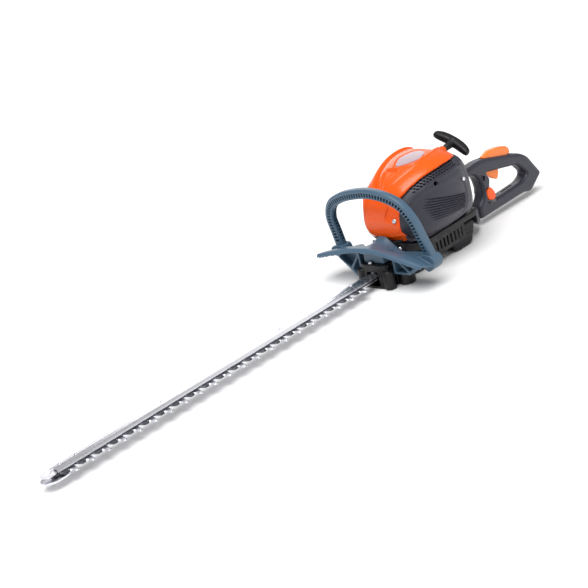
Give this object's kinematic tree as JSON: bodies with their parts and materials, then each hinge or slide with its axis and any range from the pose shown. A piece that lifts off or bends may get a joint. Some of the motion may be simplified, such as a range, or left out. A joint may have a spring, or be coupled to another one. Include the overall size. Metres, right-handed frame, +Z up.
{
  "type": "hedge trimmer",
  "caption": "Petrol hedge trimmer with a long single-sided double-blade cutter bar, covered two-stroke engine, front loop handle with guard and rear D handle.",
  "frame": {"origin": "on the underside of the gear case, on the tool's centre plane, 44 mm behind the front of the gear case", "axes": "+X towards the rear handle, -X along the cutter bar, +Z up, -Y the side that the cutter teeth point to"},
  "size_m": [1.3025, 0.262, 0.2045],
  "materials": {
    "blade_dark": "dark hardened steel",
    "blade_steel": "bright ground steel",
    "case_black": "black painted casting",
    "engine_alloy": "cast, bead blasted",
    "black_plastic": "black moulded nylon",
    "starter_cord": "braided cord",
    "filter_foam": "open foam",
    "orange_plastic": "glossy orange",
    "amber_plastic": "amber orange",
    "window_plastic": "pale glossy insert",
    "bulb_plastic": "soft translucent bulb",
    "charcoal_plastic": "charcoal moulded nylon",
    "slate_plastic": "slate blue moulded nylon",
    "mount_rubber": "black rubber"
  },
  "bodies": {
    "frame": {"muffler": "blade_dark", "guide_bar": "blade_steel", "tip_guard": "blade_steel", "bar_bolt_1": "blade_steel", "bar_bolt_2": "blade_steel", "bar_bolt_3": "blade_steel", "bar_bolt_4": "blade_steel", "bar_bolt_5": "blade_steel", "bar_screw": "blade_steel", "gear_bearing": "blade_steel", "drum_bearing": "blade_steel", "spark_plug": "blade_steel", "nose_screw": "blade_steel", "guard_screw_left": "blade_steel", "guard_screw_right": "blade_steel", "gear_case": "case_black", "gear_case_base": "case_black", "crankcase": "engine_alloy", "cylinder": "engine_alloy", "carburettor": "engine_alloy", "ignition_coil": "black_plastic", "fan_housing": "black_plastic", "engine_base": "black_plastic", "fuel_tank": "black_plastic", "starter_rope": "starter_cord", "air_filter": "filter_foam", "top_cover": "orange_plastic", "starter_collar": "orange_plastic", "top_window": "window_plastic", "left_side_cover": "charcoal_plastic", "right_side_cover": "charcoal_plastic", "rear_handle_left": "charcoal_plastic", "rear_handle_right": "charcoal_plastic", "handle_bracket": "charcoal_plastic", "front_handle": "slate_plastic", "hand_guard": "slate_plastic", "handle_mount_upper": "mount_rubber", "handle_mount_lower": "mount_rubber", "throttle_cable": "mount_rubber"},
    "upper_blade": {"cutter_blade_upper": "blade_dark", "connecting_yoke_upper": "blade_dark"},
    "lower_blade": {"cutter_blade_lower": "blade_steel", "connecting_yoke_lower": "blade_dark"},
    "gear": {"eccentric_gear": "blade_dark"},
    "drum": {"clutch_drum": "blade_dark"},
    "crank": {"crankshaft": "blade_steel", "flywheel": "engine_alloy", "clutch_rotor": "blade_dark"},
    "piston_set": {"piston": "engine_alloy", "connecting_rod": "blade_steel"},
    "pulley": {"starter_pulley": "black_plastic"},
    "starter_grip": {"starter_handle": "black_plastic"},
    "trigger": {"throttle_trigger": "amber_plastic"},
    "lock": {"throttle_lock": "amber_plastic"},
    "switch": {"stop_switch": "orange_plastic"},
    "choke": {"choke_lever": "amber_plastic"},
    "primer": {"primer_bulb": "bulb_plastic"},
    "tank_cap": {"fuel_cap": "black_plastic"}
  },
  "joints": [
    {"name": "upper_blade_slide", "type": "slide", "parent": "frame", "child": "upper_blade", "axis": [1, 0, 0], "range_m": [0, 0.0175]},
    {"name": "lower_blade_slide", "type": "slide", "parent": "frame", "child": "lower_blade", "axis": [1, 0, 0], "range_m": [-0.0175, 0]},
    {"name": "gear_spin", "type": "hinge", "parent": "frame", "child": "gear", "pos_m": [0.005, 0, 0.033], "axis": [0, 0, 1], "continuous": true},
    {"name": "drum_spin", "type": "hinge", "parent": "frame", "child": "drum", "pos_m": [0.045, 0, 0.05], "axis": [0, 0, 1], "continuous": true},
    {"name": "crank_spin", "type": "hinge", "parent": "frame", "child": "crank", "pos_m": [0.045, 0, 0.094], "axis": [0, 0, 1], "continuous": true},
    {"name": "piston_slide", "type": "slide", "parent": "frame", "child": "piston_set", "axis": [1, 0, 0], "range_m": [-0.014, 0.014]},
    {"name": "starter_pull", "type": "slide", "parent": "frame", "child": "starter_grip", "axis": [0.9902, 0, 0.1395], "range_m": [0, 0.5], "stiffness_N_per_m": 20, "deforming": ["starter_rope"]},
    {"name": "pulley_spin", "type": "hinge", "parent": "frame", "child": "pulley", "pos_m": [0.045, 0, 0.138], "axis": [0, 0, 1], "range_deg": [0, 1440]},
    {"name": "trigger_squeeze", "type": "hinge", "parent": "frame", "child": "trigger", "pos_m": [0.304, 0, 0.105], "axis": [0, -1, 0], "range_deg": [0, 14], "stiffness_Nm_per_rad": 0.6},
    {"name": "lock_press", "type": "hinge", "parent": "frame", "child": "lock", "pos_m": [0.322, 0, 0.113], "axis": [0, 1, 0], "range_deg": [0, 5], "stiffness_Nm_per_rad": 0.6},
    {"name": "switch_rock", "type": "hinge", "parent": "frame", "child": "switch", "pos_m": [0.29, 0, 0.05], "axis": [0, 1, 0], "range_deg": [0, 10]},
    {"name": "choke_turn", "type": "hinge", "parent": "frame", "child": "choke", "pos_m": [0.1283, 0.07, 0.104], "axis": [0, 1, 0], "range_deg": [0, 60]},
    {"name": "primer_press", "type": "slide", "parent": "frame", "child": "primer", "axis": [0, -1, 0], "range_m": [0, 0.004], "stiffness_N_per_m": 800},
    {"name": "cap_turn", "type": "hinge", "parent": "frame", "child": "tank_cap", "pos_m": [0.162, 0.06, 0.023], "axis": [0, 1, 0], "range_deg": [0, 180]}
  ],
  "couplings": [
    {"joint": "lower_blade_slide", "follows": "upper_blade_slide", "ratio": -1},
    {"joint": "drum_spin", "follows": "gear_spin", "ratio": -4},
    {"joint": "pulley_spin", "follows": "starter_pull", "rad_per_m": 50}
  ]
}
